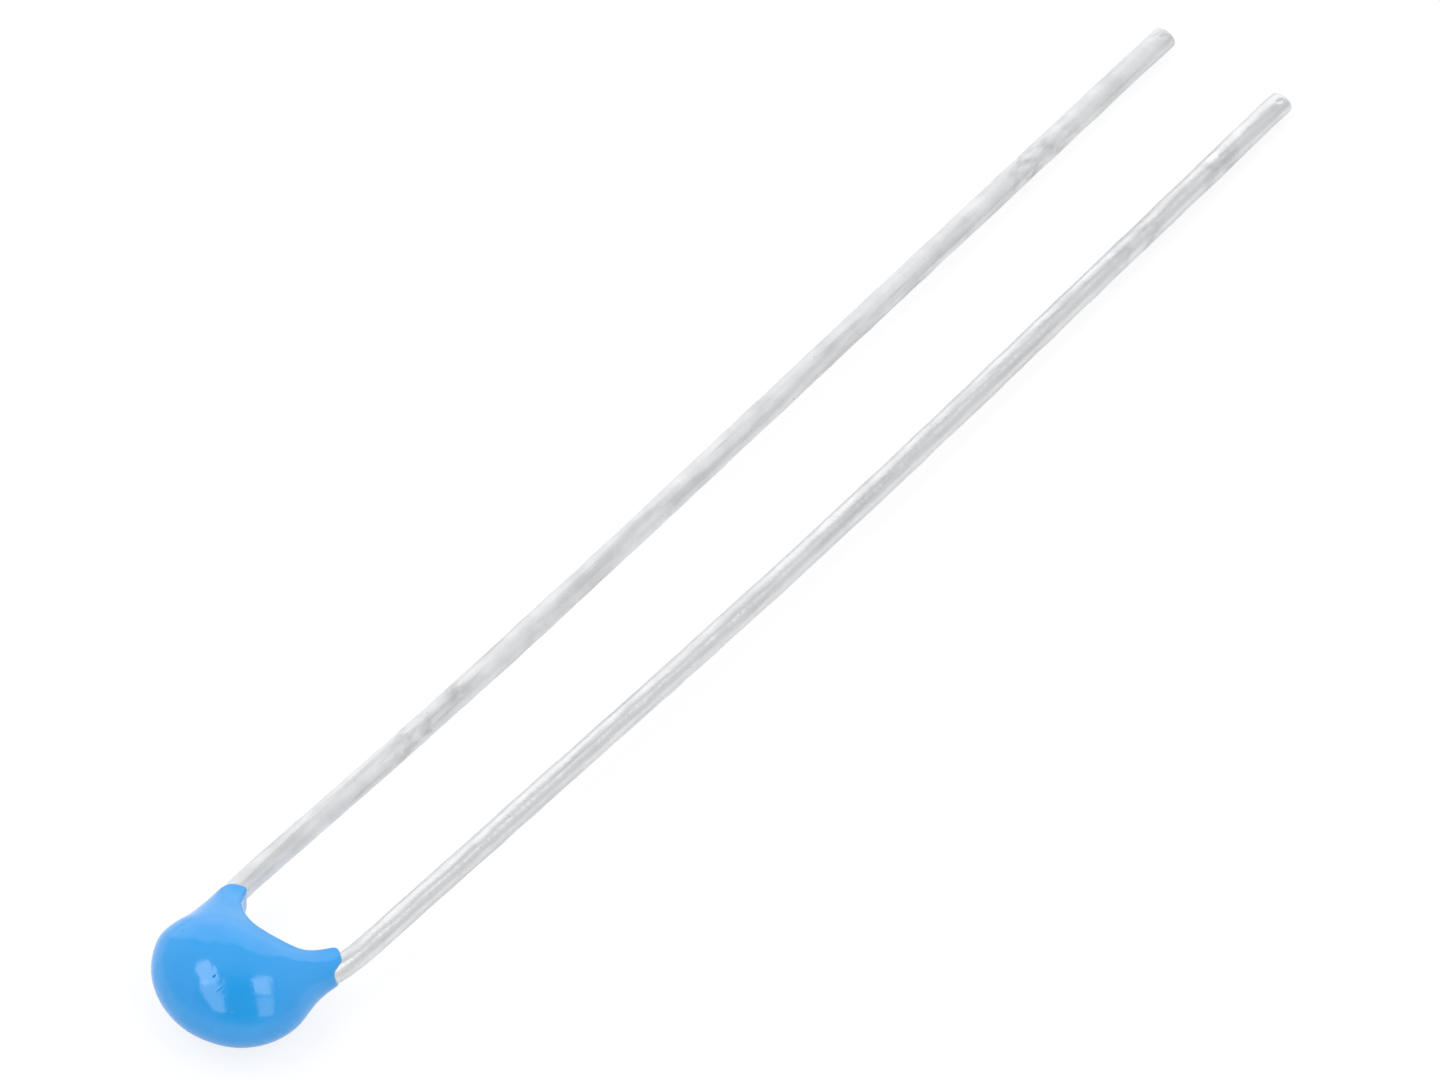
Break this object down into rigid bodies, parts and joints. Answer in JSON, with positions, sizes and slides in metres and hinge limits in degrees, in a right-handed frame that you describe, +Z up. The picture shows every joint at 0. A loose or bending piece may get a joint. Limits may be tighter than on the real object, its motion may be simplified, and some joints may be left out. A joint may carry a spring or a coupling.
{
  "type": "multilayer ceramic capacitor",
  "caption": "Small radial-leaded ceramic capacitor: a dipped blue epoxy bead over a chip, with two long tinned wire leads, lying at rest.",
  "frame": {"origin": "on the surface that the part lies on, at the middle of its bounding box: half way along the part and about midway between the leads", "axes": "+Y along the leads, from the bead to the tips; +X from the left lead to the right one; +Z up, away from the surface that it lies on"},
  "size_m": [0.0033, 0.0284, 0.0019],
  "materials": {
    "blue_epoxy": "gloss",
    "fired_ceramic": "matte",
    "electrode_metal": "satin",
    "end_cap_metal": "satin",
    "solder": "satin",
    "tinned_wire": "satin"
  },
  "bodies": {
    "root": {"coating": "blue_epoxy", "ceramic_block": "fired_ceramic", "left_electrodes": "electrode_metal", "right_electrodes": "electrode_metal", "left_end_cap": "end_cap_metal", "right_end_cap": "end_cap_metal", "left_solder": "solder", "right_solder": "solder", "left_lead": "tinned_wire", "right_lead": "tinned_wire"}
  },
  "joints": []
}
